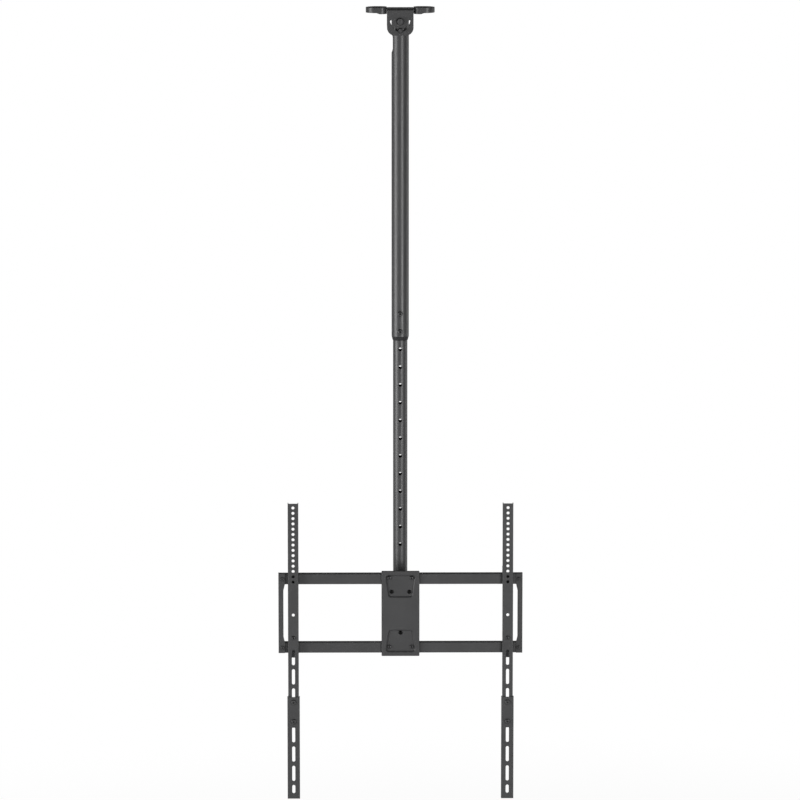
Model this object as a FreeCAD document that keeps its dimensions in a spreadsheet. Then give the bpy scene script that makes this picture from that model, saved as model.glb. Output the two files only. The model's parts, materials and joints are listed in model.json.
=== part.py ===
import FreeCAD, Part
import math
import os
from types import SimpleNamespace

import Sketcher

# Telescopic-pole ceiling mount for a flat screen, in millimetres.
# The origin is on the pole's axis in the ceiling plane. +Z is up and the screen side faces -Y.

# Driving sizes, one cell each in the sheet
SIZES = {
    # Ceiling plate: two wings with a skirt, a lower web between them, two ears folded down
    "plate_sheet": 3,
    "wing_reach": 95,
    "wing_root": 37,
    "wing_depth": 54,
    "wing_corner": 16,
    "wing_skirt": 14,
    "root_skirt": 17,
    "root_skirt_length": 20,
    "root_skirt_slope": 9,
    "web_drop": 2.5,
    "neck_width": 20,
    "ear_width": 73,
    "ear_bottom": 76,
    "ear_corner": 22,
    "ear_bend": 5,
    "ear_clearance": 2,
    "pivot_drop": 37,
    "lock_radius": 25,
    "lock_swing": 90,
    "lock_slot_play": 0.35,
    "ceiling_slot_length": 24,
    "ceiling_slot_width": 9,
    "ceiling_slot_x": 66,
    "ceiling_slot_y": 13,
    "relief_hole": 5,
    "relief_x": 21.5,
    "relief_y": 20,
    # Outer tube and what sits in it
    "outer_diameter": 48,
    "outer_wall": 2,
    "outer_top": 18,
    "outer_length": 899,
    "cable_slot_drop": 100,
    "cable_slot_length": 54,
    "cable_slot_width": 25,
    "sleeve_wall": 3,
    "bush_length": 95,
    "bush_taper": 11,
    "bush_lip": 0.9,
    # Inner tube, its row of holes and its two end pieces
    "inner_diameter": 40,
    "inner_wall": 2,
    "inner_length": 915,
    "tube_overlap": 137,
    "hole_pitch": 50.25,
    "hole_count": 15,
    "hole_diameter": 10,
    "screw_margin": 14.5,
    "glide_length": 15,
    "glide_lip": 3,
    "foot_margin": 6,
    "foot_ring_height": 14,
    "foot_ring_wall": 5,
    # Swivel bracket: a lined collar round the inner tube's foot, with two cheeks
    "thrust_washer_thickness": 2,
    "thrust_washer_width": 6,
    "collar_height": 80,
    "collar_wall": 5,
    "liner_wall": 1.7,
    "swivel_screw_spacing": 40,
    "cheek_sheet": 5,
    "cheek_back": 10,
    "cheek_shoulder": 12,
    "cheek_margin": 16,
    "cheek_step": 8,
    # Tilt axis, and the bracket that turns on it
    "tilt_forward": 48,
    "tilt_rise": 5,
    "tilt_lock_radius": 35,
    "tilt_down": 20,
    "tilt_up": 5,
    "tilt_slot_spare": 2,
    "tilt_sheet": 3,
    "tilt_spacer_thickness": 1.5,
    "tilt_spacer_width": 24,
    "tilt_to_rail": 38,
    "ear_back": 18,
    "ear_top_rise": 45,
    "ear_back_rise": 18,
    "ear_foot": 30,
    "ear_back_foot": 16,
    "bracket_inset": 3.5,
    # Front panel with two pressed recesses
    "frame_rise": 1.5,
    "panel_width": 106,
    "panel_height": 242,
    "panel_sheet": 2,
    "panel_edge": 2.5,
    "recess_depth": 4,
    "recess_near": 45.5,
    "recess_far": 110.3,
    "recess_narrow": 69,
    "recess_wide": 85,
    "recess_slope": 3,
    "recess_corner": 6,
    "rail_screw_x": 31,
    "rail_screw_upper": 101,
    "rail_screw_lower": 95,
    "bracket_bolt_x": 24.4,
    "bracket_bolt_upper": 61.5,
    "bracket_bolt_lower": 55,
    # Rails and end plates
    "rail_length": 677.4,
    "rail_height": 30,
    "rail_depth": 20,
    "rail_wall": 1.5,
    "rail_spacing": 195.5,
    "rail_edge": 2,
    "end_sheet": 2,
    "end_strip": 14,
    "end_tab": 18,
    "end_slope": 17,
    "end_screw_inset": 10.8,
    # Arms
    "arm_inset": 39.5,
    "arm_width": 29.6,
    "arm_sheet": 2,
    "arm_depth": 15.7,
    "arm_length": 638.2,
    "arm_rise": 314.7,
    "arm_edge": 1.5,
    "arm_hole_diameter": 8.4,
    "arm_hole_first": 12,
    "arm_hole_pitch": 15,
    "arm_hole_count": 15,
    "arm_mid_hole": 304.2,
    "arm_slot_first": 425.5,
    "arm_slot_pitch": 55,
    "arm_slot_count": 4,
    "arm_slot_length": 44,
    "arm_slot_width": 8.6,
    "hook_height": 16,
    "hook_reach": 15,
    "hook_thickness": 5.5,
    "clip_sheet": 3,
    "clip_width": 22,
    "clip_screw_rise": 16,
    "clip_top": 10,
    "clip_reach": 48,
    # Extensions
    "extension_sheet": 2.2,
    "extension_play": 0.3,
    "extension_depth": 14.3,
    "extension_top": 15,
    "extension_length": 291.45,
    "extension_slot_first": 107.75,
    "extension_slot_pitch": 55.5,
    "extension_slot_count": 3,
    "extension_short_slot": 24,
    "extension_short_drop": 263.95,
    # Fasteners
    "large_bolt": 10,
    "large_flats": 16,
    "large_head": 6.4,
    "large_nut": 8,
    "large_washer": 20,
    "medium_bolt": 8,
    "medium_flats": 13,
    "medium_head": 5.3,
    "medium_nut": 6.5,
    "medium_washer": 18,
    "washer_thickness": 1.8,
    "bolt_end": 2.5,
    "medium_dome": 14,
    "medium_dome_height": 3.8,
    "medium_socket": 5,
    "small_screw": 6,
    "small_dome": 10.5,
    "small_dome_height": 3.3,
    "small_socket": 4,
    "small_flats": 10,
    "small_nut": 5,
    "small_head": 4,
    "small_washer": 14,
    "small_screw_length": 12,
    "socket_depth": 2,
    # Clearances
    "bolt_play": 0.25,
    "running_gap": 0.3,
    "pin_play": 0.08,
    "fit_gap": 0.05,
}

V = FreeCAD.Vector
doc = FreeCAD.newDocument("ceiling_mount")
sheet = doc.addObject("Spreadsheet::Sheet", "Sizes")
for row, (alias, number) in enumerate(SIZES.items(), 1):
    sheet.set(f"A{row}", alias)
    sheet.set(f"B{row}", str(number))
    sheet.setAlias(f"B{row}", alias)
doc.recompute()


class Dim:
    """A length or place: its number, and the expression on the sheet's cells that gives it."""

    def __init__(self, value, text):
        self.value = value
        self.text = text

    def __add__(self, other):
        other = dim(other)
        return Dim(self.value + other.value, f"({self.text} + {other.text})")

    def __sub__(self, other):
        other = dim(other)
        return Dim(self.value - other.value, f"({self.text} - {other.text})")

    def __mul__(self, other):
        other = dim(other)
        return Dim(self.value * other.value, f"({self.text} * {other.text})")

    def __truediv__(self, other):
        other = dim(other)
        return Dim(self.value / other.value, f"({self.text} / {other.text})")

    def __neg__(self):
        return Dim(-self.value, f"(0 - {self.text})")

    def __rsub__(self, other):
        return dim(other) - self

    __radd__ = __add__
    __rmul__ = __mul__


def dim(number):
    """A plain number as a Dim, and a Dim as it is."""
    if isinstance(number, Dim):
        return number
    return Dim(number, f"({number})")


S = SimpleNamespace(**{alias: Dim(number, f"Sizes.{alias}") for alias, number in SIZES.items()})

# Places worked out from the sizes: z is up, y is negative towards the screen
outer_radius = S.outer_diameter / 2
outer_bore = outer_radius - S.outer_wall
inner_radius = S.inner_diameter / 2
inner_bore = inner_radius - S.inner_wall
ear_inside = outer_radius + S.ear_clearance
ear_outside = ear_inside + S.plate_sheet
z_pivot = -S.pivot_drop
z_lock = z_pivot - S.lock_radius
z_outer_top = -S.outer_top
z_outer_foot = z_outer_top - S.outer_length
z_screw_low = z_outer_foot + S.screw_margin
z_inner_top = z_outer_foot + S.tube_overlap
z_inner_foot = z_inner_top - S.inner_length
bush_bore = inner_radius + S.running_gap
z_ring_foot = z_inner_foot + S.foot_margin
z_ring_top = z_ring_foot + S.foot_ring_height
ring_radius = inner_radius + S.foot_ring_wall
z_collar_foot = z_ring_top + S.running_gap + S.thrust_washer_thickness
z_collar_top = z_collar_foot + S.collar_height
liner_bore = inner_radius + S.running_gap
liner_radius = liner_bore + S.liner_wall
collar_bore = liner_radius + S.fit_gap
collar_radius = collar_bore + S.collar_wall
cheek_outside = collar_radius
cheek_inside = cheek_outside - S.cheek_sheet
y_tilt = -S.tilt_forward
z_tilt = z_inner_foot + S.tilt_rise
z_tilt_lock = z_tilt - S.tilt_lock_radius
tilt_ear_inside = cheek_outside + S.tilt_spacer_thickness + S.running_gap
tilt_ear_outside = tilt_ear_inside + S.tilt_sheet
y_rail_front = y_tilt - S.tilt_to_rail
y_rail_back = y_rail_front + S.rail_depth
y_floor = y_rail_front - S.panel_sheet
y_panel = y_floor - S.recess_depth
y_web_back = y_rail_front + S.tilt_sheet
z_frame = z_tilt + S.frame_rise
rail_far = S.rail_spacing / 2 + S.rail_height / 2
rail_near = S.rail_spacing / 2 - S.rail_height / 2
end_outside = S.rail_length / 2 + S.end_sheet
y_end_front = y_rail_front - S.end_sheet
y_arm_back = y_rail_front - S.running_gap
y_arm = y_arm_back - S.arm_depth
y_arm_web = y_arm + S.arm_sheet
z_arm_top = z_frame + S.arm_rise
z_arm_foot = z_arm_top - S.arm_length
z_arm_hole = z_arm_top - S.arm_hole_first
z_clip_screw = z_frame - rail_near + S.clip_screw_rise
y_extension_web = y_arm - S.running_gap
y_extension = y_extension_web - S.extension_sheet
extension_inside = S.arm_width / 2 + S.extension_play
extension_outside = extension_inside + S.extension_sheet


def arm_slot_z(number):
    """Height of an arm's slot, counted from the top one."""
    return z_arm_hole - S.arm_slot_first - S.arm_slot_pitch * number


def extension_screw_z(number):
    """Height of an extension's screw, at the foot of one of the arm's last two slots."""
    slot_number = SIZES["arm_slot_count"] - 2 + number
    return arm_slot_z(slot_number) - (S.arm_slot_length - S.arm_slot_width) / 2


z_extension_top = extension_screw_z(0) + S.extension_top
z_extension_foot = z_extension_top - S.extension_length

# Turns that lay a Z axis along another axis
ALONG = {
    "Z": FreeCAD.Rotation(),
    "Y": FreeCAD.Rotation(V(1, 0, 0), -90),
    "-Y": FreeCAD.Rotation(V(1, 0, 0), 90),
    "X": FreeCAD.Rotation(V(0, 1, 0), 90),
    "-X": FreeCAD.Rotation(V(0, 1, 0), -90),
}
SIDES = {"left": -1, "right": 1}
pieces = []


def keep(thing, label):
    """Name a finished sub-part."""
    thing.Label = label
    pieces.append(thing)
    return thing


def place(thing, at, along="Z", turn=0):
    """Put a thing's own origin at a point, its Z along an axis, turned about that Z by degrees."""
    at = [dim(number) for number in at]
    turned = ALONG[along].multiply(FreeCAD.Rotation(V(0, 0, 1), turn))
    thing.Placement = FreeCAD.Placement(V(*[number.value for number in at]), turned)
    for axis, number in zip("xyz", at):
        thing.setExpression(f"Placement.Base.{axis}", number.text)
    return thing


def primitive(kind, at=(0, 0, 0), along="Z", turn=0, **sizes):
    """A Part primitive with its sizes bound to the sheet."""
    thing = doc.addObject(f"Part::{kind}", kind)
    for name, number in sizes.items():
        thing.setExpression(name, dim(number).text)
    return place(thing, at, along, turn)


def cylinder(radius, height, at=(0, 0, 0), along="Z", turn=0, angle=360):
    return primitive("Cylinder", at, along, turn, Radius=radius, Height=height, Angle=angle)


def hexagon(flats, height, at=(0, 0, 0), along="Z"):
    """A six-sided prism, measured across its flats."""
    thing = primitive("Prism", at, along, Circumradius=flats / math.sqrt(3), Height=height)
    thing.Polygon = 6
    return thing


def cut(base, tool):
    thing = doc.addObject("Part::Cut", "Cut")
    thing.Base = base
    thing.Tool = tool
    return thing


def fuse(*shapes):
    thing = doc.addObject("Part::MultiFuse", "Fuse")
    thing.Shapes = list(shapes)
    return thing


def common(*shapes):
    thing = doc.addObject("Part::MultiCommon", "Common")
    thing.Shapes = list(shapes)
    return thing


def group(shapes):
    """Separate solids in one node."""
    thing = doc.addObject("Part::Compound", "Group")
    thing.Links = list(shapes)
    return thing


def ring(outside, inside, height, at, along="Z"):
    """A washer, spacer or sleeve."""
    return cut(cylinder(outside, height, at, along), cylinder(inside, height, at, along))


def new_sketch(body, role, offset):
    """A sketch on one of the body's own planes, moved along that plane's normal."""
    drawing = body.newObject("Sketcher::SketchObject", "Sketch")
    plane = next(item for item in body.Origin.OriginFeatures if item.Role == f"{role}_Plane")
    drawing.AttachmentSupport = (plane, [""])
    drawing.MapMode = "FlatFace"
    drawing.setExpression("AttachmentOffset.Base.z", dim(offset).text)
    return drawing


def fix(drawing, kind, number, *ends):
    """A dimension in a sketch, bound to the sheet."""
    number = dim(number)
    index = drawing.addConstraint(Sketcher.Constraint(kind, *ends, number.value))
    drawing.setExpression(f"Constraints[{index}]", number.text)


def fix_point(drawing, geometry, end, point):
    fix(drawing, "DistanceX", point[0], -1, 1, geometry, end)
    fix(drawing, "DistanceY", point[1], -1, 1, geometry, end)


def polygon(points):
    """A closed straight-sided outline through the points."""

    def draw(drawing):
        corners = [V(dim(x).value, dim(y).value, 0) for x, y in points]
        following = corners[1:] + corners[:1]
        lines = [
            drawing.addGeometry(Part.LineSegment(start, end), False)
            for start, end in zip(corners, following)
        ]
        for line, after in zip(lines, lines[1:] + lines[:1]):
            drawing.addConstraint(Sketcher.Constraint("Coincident", line, 2, after, 1))
        for line, point in zip(lines, points):
            fix_point(drawing, line, 1, point)

    return draw


def rectangle(x_low, x_high, y_low, y_high):
    return polygon([(x_low, y_low), (x_high, y_low), (x_high, y_high), (x_low, y_high)])


def circle(x, y, radius):
    def draw(drawing):
        middle = V(dim(x).value, dim(y).value, 0)
        index = drawing.addGeometry(Part.Circle(middle, V(0, 0, 1), dim(radius).value), False)
        fix_point(drawing, index, 3, (x, y))
        fix(drawing, "Radius", radius, index)

    return draw


def slot(start, end, width):
    """A slot with round ends about two points."""

    def draw(drawing):
        radius = width / 2
        low, high = [V(dim(x).value, dim(y).value, 0) for x, y in (start, end)]
        heading = math.atan2(high.y - low.y, high.x - low.x)
        quarter = math.pi / 2
        across = V(-math.sin(heading), math.cos(heading), 0) * radius.value
        ends = []
        for middle, first in ((high, heading - quarter), (low, heading + quarter)):
            full = Part.Circle(middle, V(0, 0, 1), radius.value)
            arc = Part.ArcOfCircle(full, first, first + math.pi)
            ends.append(drawing.addGeometry(arc, False))
        over = drawing.addGeometry(Part.LineSegment(high + across, low + across), False)
        under = drawing.addGeometry(Part.LineSegment(low - across, high - across), False)
        loop = [ends[0], over, ends[1], under]
        for index, after in zip(loop, loop[1:] + loop[:1]):
            drawing.addConstraint(Sketcher.Constraint("Tangent", index, 2, after, 1))
        for index, point in zip(ends, (end, start)):
            fix_point(drawing, index, 3, point)
            fix(drawing, "Radius", radius, index)

    return draw


def prism(body, role, low, high, outlines, removes=False):
    """Extrude outlines between two places on the axis square to the plane, adding or removing.

    The XZ plane faces -Y, so there the sketch sits at the high place.
    """
    drawing = new_sketch(body, role, -high if role == "XZ" else low)
    for outline in outlines:
        outline(drawing)
    kind = "Pocket" if removes else "Pad"
    feature = body.newObject(f"PartDesign::{kind}", kind)
    feature.Profile = drawing
    feature.Reversed = removes
    feature.setExpression("Length", (high - low).text)
    return feature


def new_body():
    return doc.addObject("PartDesign::Body", "Body")


def edges_at(feature, direction, *places):
    """Names of a feature's straight edges along an axis, through given places on the other axes."""
    doc.recompute()
    others = [axis for axis in "xyz" if axis != direction]
    names = []
    for number, edge in enumerate(feature.Shape.Edges, 1):
        box = edge.BoundBox
        length = {"x": box.XLength, "y": box.YLength, "z": box.ZLength}
        if any(length[axis] > 1e-4 for axis in others) or edge.Curve.TypeId != "Part::GeomLine":
            continue
        middle = {"x": box.Center.x, "y": box.Center.y, "z": box.Center.z}
        for spot in places:
            if all(abs(middle[axis] - dim(where).value) < 1e-4 for axis, where in zip(others, spot)):
                names.append(f"Edge{number}")
    return names


def fillet(body, feature, radius, edges):
    rounded = body.newObject("PartDesign::Fillet", "Fillet")
    rounded.Base = (feature, edges)
    rounded.setExpression("Radius", dim(radius).text)
    return rounded


def round_edges(body, feature, radius, direction, *places):
    """Round a feature's straight edges that run along an axis through the given places."""
    return fillet(body, feature, radius, edges_at(feature, direction, *places))


def slope_mouth(body, feature, size, y, reach_x, reach_z):
    """Slope the walls of a recess from its mouth, whose edges lie in one plane within a reach."""
    doc.recompute()
    edges = []
    for number, edge in enumerate(feature.Shape.Edges, 1):
        box = edge.BoundBox
        in_plane = abs(box.YMin - y.value) < 1e-4 and abs(box.YMax - y.value) < 1e-4
        near_x = max(abs(box.XMin), abs(box.XMax)) < reach_x.value
        near_z = max(abs(box.ZMin - z_frame.value), abs(box.ZMax - z_frame.value)) < reach_z.value
        if in_plane and near_x and near_z:
            edges.append(f"Edge{number}")
    sloped = body.newObject("PartDesign::Chamfer", "Chamfer")
    sloped.Base = (feature, edges)
    sloped.setExpression("Size", size.text)
    return sloped


def arc_slot(middle, along, radius, width, start, sweep, depth):
    """A cutter for a slot on an arc: a ring sector with a round end at each end."""
    half = width / 2
    outside = cylinder(radius + half, depth, middle, along, start.value, sweep)
    inside = cylinder(radius - half, depth, middle, along, start.value, sweep)
    sector = cut(outside, inside)
    ends = []
    for degrees in (start, start + sweep):
        spoke = ALONG[along].multVec(V(1, 0, 0))
        swept = ALONG[along].multVec(V(0, 1, 0))
        cosine = Dim(math.cos(math.radians(degrees.value)), f"cos({degrees.text} * 1 deg)")
        sine = Dim(math.sin(math.radians(degrees.value)), f"sin({degrees.text} * 1 deg)")
        reach = [
            place_ + radius * (cosine * round(one) + sine * round(two))
            for place_, one, two in zip([dim(number) for number in middle], spoke, swept)
        ]
        ends.append(cylinder(half, depth, reach, along))
    return fuse(sector, *ends)


def domed_screw(dome, dome_height, socket, diameter, length, at, along):
    """A domed screw with a hexagon socket: its axis leads from the head into the work."""
    head = cylinder(dome / 2, dome_height, (0, 0, -dome_height))
    doc.recompute()
    rounded = doc.addObject("Part::Fillet", "Fillet")
    rounded.Base = head
    top = next(
        number
        for number, edge in enumerate(head.Shape.Edges, 1)
        if abs(edge.BoundBox.ZMax + dome_height.value) < 1e-6 and edge.BoundBox.ZLength < 1e-6
    )
    soft = 0.7 * dome_height.value
    rounded.Edges = [(top, soft, soft)]
    recess = hexagon(socket, S.socket_depth, (0, 0, -dome_height))
    shank = cylinder(diameter / 2, length)
    return place(fuse(cut(rounded, recess), shank), at, along)


def small_screw(length, at, along):
    sizes = (S.small_dome, S.small_dome_height, S.small_socket, S.small_screw)
    return domed_screw(*sizes, length, at, along)


def medium_screw(length, at, along):
    sizes = (S.medium_dome, S.medium_dome_height, S.medium_socket, S.medium_bolt)
    return domed_screw(*sizes, length, at, along)


def hex_bolt(flats, head, diameter, length, at, along):
    """A hexagon bolt: its axis leads from under the head into the work."""
    return place(fuse(hexagon(flats, head, (0, 0, -head)), cylinder(diameter / 2, length)), at, along)


def hex_nut(flats, height, diameter, at, along):
    bore = cylinder(diameter / 2 + S.fit_gap, height)
    return place(cut(hexagon(flats, height), bore), at, along)


# Ceiling plate


def wing():
    """One wing: a shallow tray, open below, round at its outer end."""
    body = new_body()
    half = S.wing_depth / 2
    round_x = S.wing_reach - half
    prism(body, "XY", -S.root_skirt, dim(0), [rectangle(S.wing_root, round_x, -half, half)])
    whole = prism(body, "XY", -S.root_skirt, dim(0), [circle(round_x, 0, half)])
    corners = [(S.wing_root, -half), (S.wing_root, half)]
    rounded = round_edges(body, whole, S.wing_corner, "z", *corners)
    doc.recompute()
    hollow = body.newObject("PartDesign::Thickness", "Thickness")
    open_faces = [
        f"Face{number}"
        for number, face in enumerate(rounded.Shape.Faces, 1)
        if abs(face.BoundBox.ZMax + S.root_skirt.value) < 1e-4
    ]
    hollow.Base = (rounded, open_faces)
    hollow.setExpression("Value", S.plate_sheet.text)
    hollow.Reversed = True
    hollow.Join = 1
    step = S.wing_root + S.root_skirt_length
    below = S.root_skirt + S.plate_sheet
    shallow = [
        (step, -below),
        (step, -S.root_skirt),
        (step + S.root_skirt_slope, -S.wing_skirt),
        (S.wing_reach + S.plate_sheet, -S.wing_skirt),
        (S.wing_reach + S.plate_sheet, -below),
    ]
    prism(body, "XZ", -S.wing_depth, S.wing_depth, [polygon(shallow)], removes=True)
    reach = (S.ceiling_slot_length - S.ceiling_slot_width) / 2
    holes = [
        slot(
            (S.ceiling_slot_x - reach, side * S.ceiling_slot_y),
            (S.ceiling_slot_x + reach, side * S.ceiling_slot_y),
            S.ceiling_slot_width,
        )
        for side in (-1, 1)
    ]
    prism(body, "XY", -S.root_skirt, S.plate_sheet, holes, removes=True)
    return body


def yoke():
    """The web between the wings and the two ears folded down from it."""
    body = new_body()
    top = -S.web_drop
    under = top - S.plate_sheet
    foot = -S.ear_bottom
    half = S.ear_width / 2
    folded = [
        (-ear_outside, top),
        (ear_outside, top),
        (ear_outside, foot),
        (ear_inside, foot),
        (ear_inside, under),
        (-ear_inside, under),
        (-ear_inside, foot),
        (-ear_outside, foot),
    ]
    channel = prism(body, "YZ", -half, half, [polygon(folded)])
    bends = [(-ear_outside, top), (ear_outside, top)]
    bent = round_edges(body, channel, S.ear_bend, "x", *bends)
    round_edges(body, bent, S.ear_corner, "y", (-half, foot), (half, foot))
    pivot = circle(0, z_pivot, S.large_bolt / 2 + S.bolt_play)
    prism(body, "XZ", -2 * ear_outside, 2 * ear_outside, [pivot], removes=True)
    reliefs = [
        circle(x * S.relief_x, y * S.relief_y, S.relief_hole / 2) for x in (-1, 1) for y in (-1, 1)
    ]
    prism(body, "XY", under - S.plate_sheet, dim(0), reliefs, removes=True)
    neck_x = S.wing_root + S.plate_sheet
    neck = rectangle(-neck_x, neck_x, -S.neck_width / 2, S.neck_width / 2)
    prism(body, "XY", under, top, [neck])
    lock_slot = arc_slot(
        (0, -2 * ear_outside, z_pivot),
        "Y",
        S.lock_radius,
        S.small_screw + 2 * S.lock_slot_play,
        90 - S.lock_swing,
        2 * S.lock_swing,
        4 * ear_outside,
    )
    return cut(body, lock_slot)


right_wing = wing()
left_wing = doc.addObject("Part::Mirroring", "LeftWing")
left_wing.Source = right_wing
left_wing.Normal = V(1, 0, 0)
keep(fuse(yoke(), right_wing, left_wing), "ceiling_plate")


def ear_hardware(name, z, gap, bolt, flats, head, nut, washer):
    """A bolt across both ears, with its nut at the back and a washer at each side."""
    y_washer = ear_outside + gap
    y_seat = y_washer + S.washer_thickness
    length = 2 * y_seat + nut + S.bolt_end
    keep(hex_bolt(flats, head, bolt, length, (0, -y_seat, z), "Y"), f"{name}_bolt")
    keep(hex_nut(flats, nut, bolt, (0, y_seat, z), "Y"), f"{name}_nut")
    inside = bolt / 2 + S.fit_gap
    washers = [
        ring(washer / 2, inside, S.washer_thickness, (0, start, z), "Y") for start in (-y_seat, y_washer)
    ]
    keep(group(washers), f"{name}_washers")


def tube_sleeve(name, z, bolt):
    """A steel sleeve round a cross bolt, cut to the tube's bore at both ends."""
    start = (0, -outer_radius, z)
    inside = bolt / 2 + S.bolt_play
    sleeve = ring(inside + S.sleeve_wall, inside, S.outer_diameter, start, "Y")
    bore = cylinder(outer_bore - S.fit_gap, S.outer_length, (0, 0, z_outer_foot))
    keep(common(sleeve, bore), f"{name}_sleeve")


large = (S.large_bolt, S.large_flats, S.large_head, S.large_nut, S.large_washer)
medium = (S.medium_bolt, S.medium_flats, S.medium_head, S.medium_nut, S.medium_washer)
small = (S.small_screw, S.small_flats, S.small_head, S.small_nut, S.small_washer)
ear_hardware("pivot", z_pivot, dim(0), *large)
ear_hardware("lock", z_lock, S.running_gap, *small)
spacer = S.ear_clearance - S.running_gap
spacer_bore = S.large_bolt / 2 + S.fit_gap
spacer_starts = (-ear_inside, ear_inside - spacer)
pivot_spacers = [
    ring(S.large_washer / 2, spacer_bore, spacer, (0, start, z_pivot), "Y") for start in spacer_starts
]
keep(group(pivot_spacers), "pivot_spacers")

# Outer tube
outer_tube = new_body()
tube_rings = [circle(0, 0, outer_radius), circle(0, 0, outer_bore)]
prism(outer_tube, "XY", z_outer_foot, z_outer_top, tube_rings)
cross_holes = [
    circle(0, z_pivot, S.large_bolt / 2 + S.bolt_play),
    circle(0, z_lock, S.small_screw / 2 + S.bolt_play),
]
prism(outer_tube, "XZ", -S.outer_diameter, S.outer_diameter, cross_holes, removes=True)
screw_places = [z_screw_low, z_screw_low + S.hole_pitch]
screw_holes = [circle(0, z, S.medium_bolt / 2 + S.fit_gap) for z in screw_places]
prism(outer_tube, "XZ", -S.outer_diameter, dim(0), screw_holes, removes=True)
cable_reach = (S.cable_slot_length - S.cable_slot_width) / 2
cable_slot = slot(
    (0, -S.cable_slot_drop - cable_reach), (0, -S.cable_slot_drop + cable_reach), S.cable_slot_width
)
prism(outer_tube, "YZ", -S.outer_diameter, dim(0), [cable_slot], removes=True)
keep(outer_tube, "outer_tube")
tube_sleeve("pivot", z_pivot, S.large_bolt)
tube_sleeve("lock", z_lock, S.small_screw)


def glide_bush():
    """Plastic bush in the outer tube's foot, with a tapered collar below it."""
    lining = cylinder(outer_bore - S.fit_gap, S.bush_length, (0, 0, z_outer_foot))
    z_tip = z_outer_foot - S.bush_taper
    tip = bush_bore + S.bush_lip
    collar = primitive(
        "Cone", (0, 0, z_tip), Radius1=tip, Radius2=outer_radius, Height=S.bush_taper
    )
    bore = cylinder(bush_bore, S.bush_length + S.bush_taper, (0, 0, z_tip))
    bored = cut(fuse(lining, collar), bore)
    holes = [
        cylinder(S.medium_bolt / 2 + S.fit_gap, S.outer_diameter, (0, 0, z), "-Y") for z in screw_places
    ]
    return cut(bored, fuse(*holes))


keep(glide_bush(), "glide_bush")
height_screw_length = outer_radius - bush_bore
height_screws = [
    medium_screw(height_screw_length, (0, -outer_radius, z), "Y") for z in screw_places
]
keep(group(height_screws), "height_screws")

# Inner tube
inner_tube = new_body()
tube_rings = [circle(0, 0, inner_radius), circle(0, 0, inner_bore)]
prism(inner_tube, "XY", z_inner_foot, z_inner_top, tube_rings)
z_first_hole = z_screw_low + 2 * S.hole_pitch
height_holes = [
    circle(0, z_first_hole - S.hole_pitch * number, S.hole_diameter / 2)
    for number in range(SIZES["hole_count"])
]
prism(inner_tube, "XZ", -S.outer_diameter, S.outer_diameter, height_holes, removes=True)
z_ring_middle = z_ring_foot + S.foot_ring_height / 2
foot_hole = circle(0, z_ring_middle, S.small_screw / 2 + S.fit_gap)
prism(inner_tube, "YZ", -S.outer_diameter, S.outer_diameter, [foot_hole], removes=True)
keep(inner_tube, "inner_tube")

glide_radius = outer_bore - S.running_gap
glide = cylinder(glide_radius, S.glide_length + S.glide_lip, (0, 0, z_inner_top - S.glide_length))
seat = cylinder(inner_radius + S.fit_gap, S.glide_length, (0, 0, z_inner_top - S.glide_length))
mouth = cylinder(inner_bore, S.glide_lip, (0, 0, z_inner_top))
keep(cut(glide, fuse(seat, mouth)), "top_glide")

foot_ring = ring(ring_radius, inner_radius + S.fit_gap, S.foot_ring_height, (0, 0, z_ring_foot))
ring_hole = cylinder(
    S.small_screw / 2 + S.fit_gap, 2 * S.outer_diameter, (-S.outer_diameter, 0, z_ring_middle), "X"
)
keep(cut(foot_ring, ring_hole), "foot_ring")
ring_screw_length = ring_radius - inner_bore
ring_screws = [
    small_screw(ring_screw_length, (-ring_radius, 0, z_ring_middle), "X"),
    small_screw(ring_screw_length, (ring_radius, 0, z_ring_middle), "-X"),
]
keep(group(ring_screws), "foot_ring_screws")

# Swivel bracket
swivel_screw_places = [
    z_collar_foot + S.collar_height / 2 + side * S.swivel_screw_spacing / 2 for side in (-1, 1)
]


def swivel_bracket():
    """Collar with two cheeks welded to its sides, which carry the tilt axis."""
    body = new_body()
    prism(body, "XY", z_collar_foot, z_collar_top, [circle(0, 0, collar_radius)])
    y_front = y_tilt - S.cheek_margin
    y_back = y_tilt + S.cheek_margin
    z_foot = z_tilt_lock - S.cheek_margin
    cheek = [
        (S.cheek_back, z_collar_foot),
        (S.cheek_back, z_collar_top - S.cheek_step),
        (-S.cheek_shoulder, z_collar_top - S.cheek_step),
        (y_front, z_tilt + S.cheek_margin),
        (y_front, z_foot),
        (y_back, z_foot),
        (y_back, z_collar_foot),
    ]
    prism(body, "YZ", -cheek_outside, -cheek_inside, [polygon(cheek)])
    cheeks = prism(body, "YZ", cheek_inside, cheek_outside, [polygon(cheek)])
    corners = [(y_front, z_tilt + S.cheek_margin), (y_front, z_foot), (y_back, z_foot)]
    round_edges(body, cheeks, S.cheek_step, "x", *corners)
    bore = [circle(0, 0, collar_bore)]
    prism(body, "XY", z_collar_foot, z_collar_top, bore, removes=True)
    bolt_holes = [
        circle(y_tilt, z_tilt, S.large_bolt / 2 + S.fit_gap),
        circle(y_tilt, z_tilt_lock, S.medium_bolt / 2 + S.fit_gap),
    ]
    prism(body, "YZ", -2 * cheek_outside, 2 * cheek_outside, bolt_holes, removes=True)
    threads = [circle(0, z, S.medium_bolt / 2 + S.fit_gap) for z in swivel_screw_places]
    prism(body, "XZ", dim(0), 2 * collar_radius, threads, removes=True)
    return body


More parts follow.
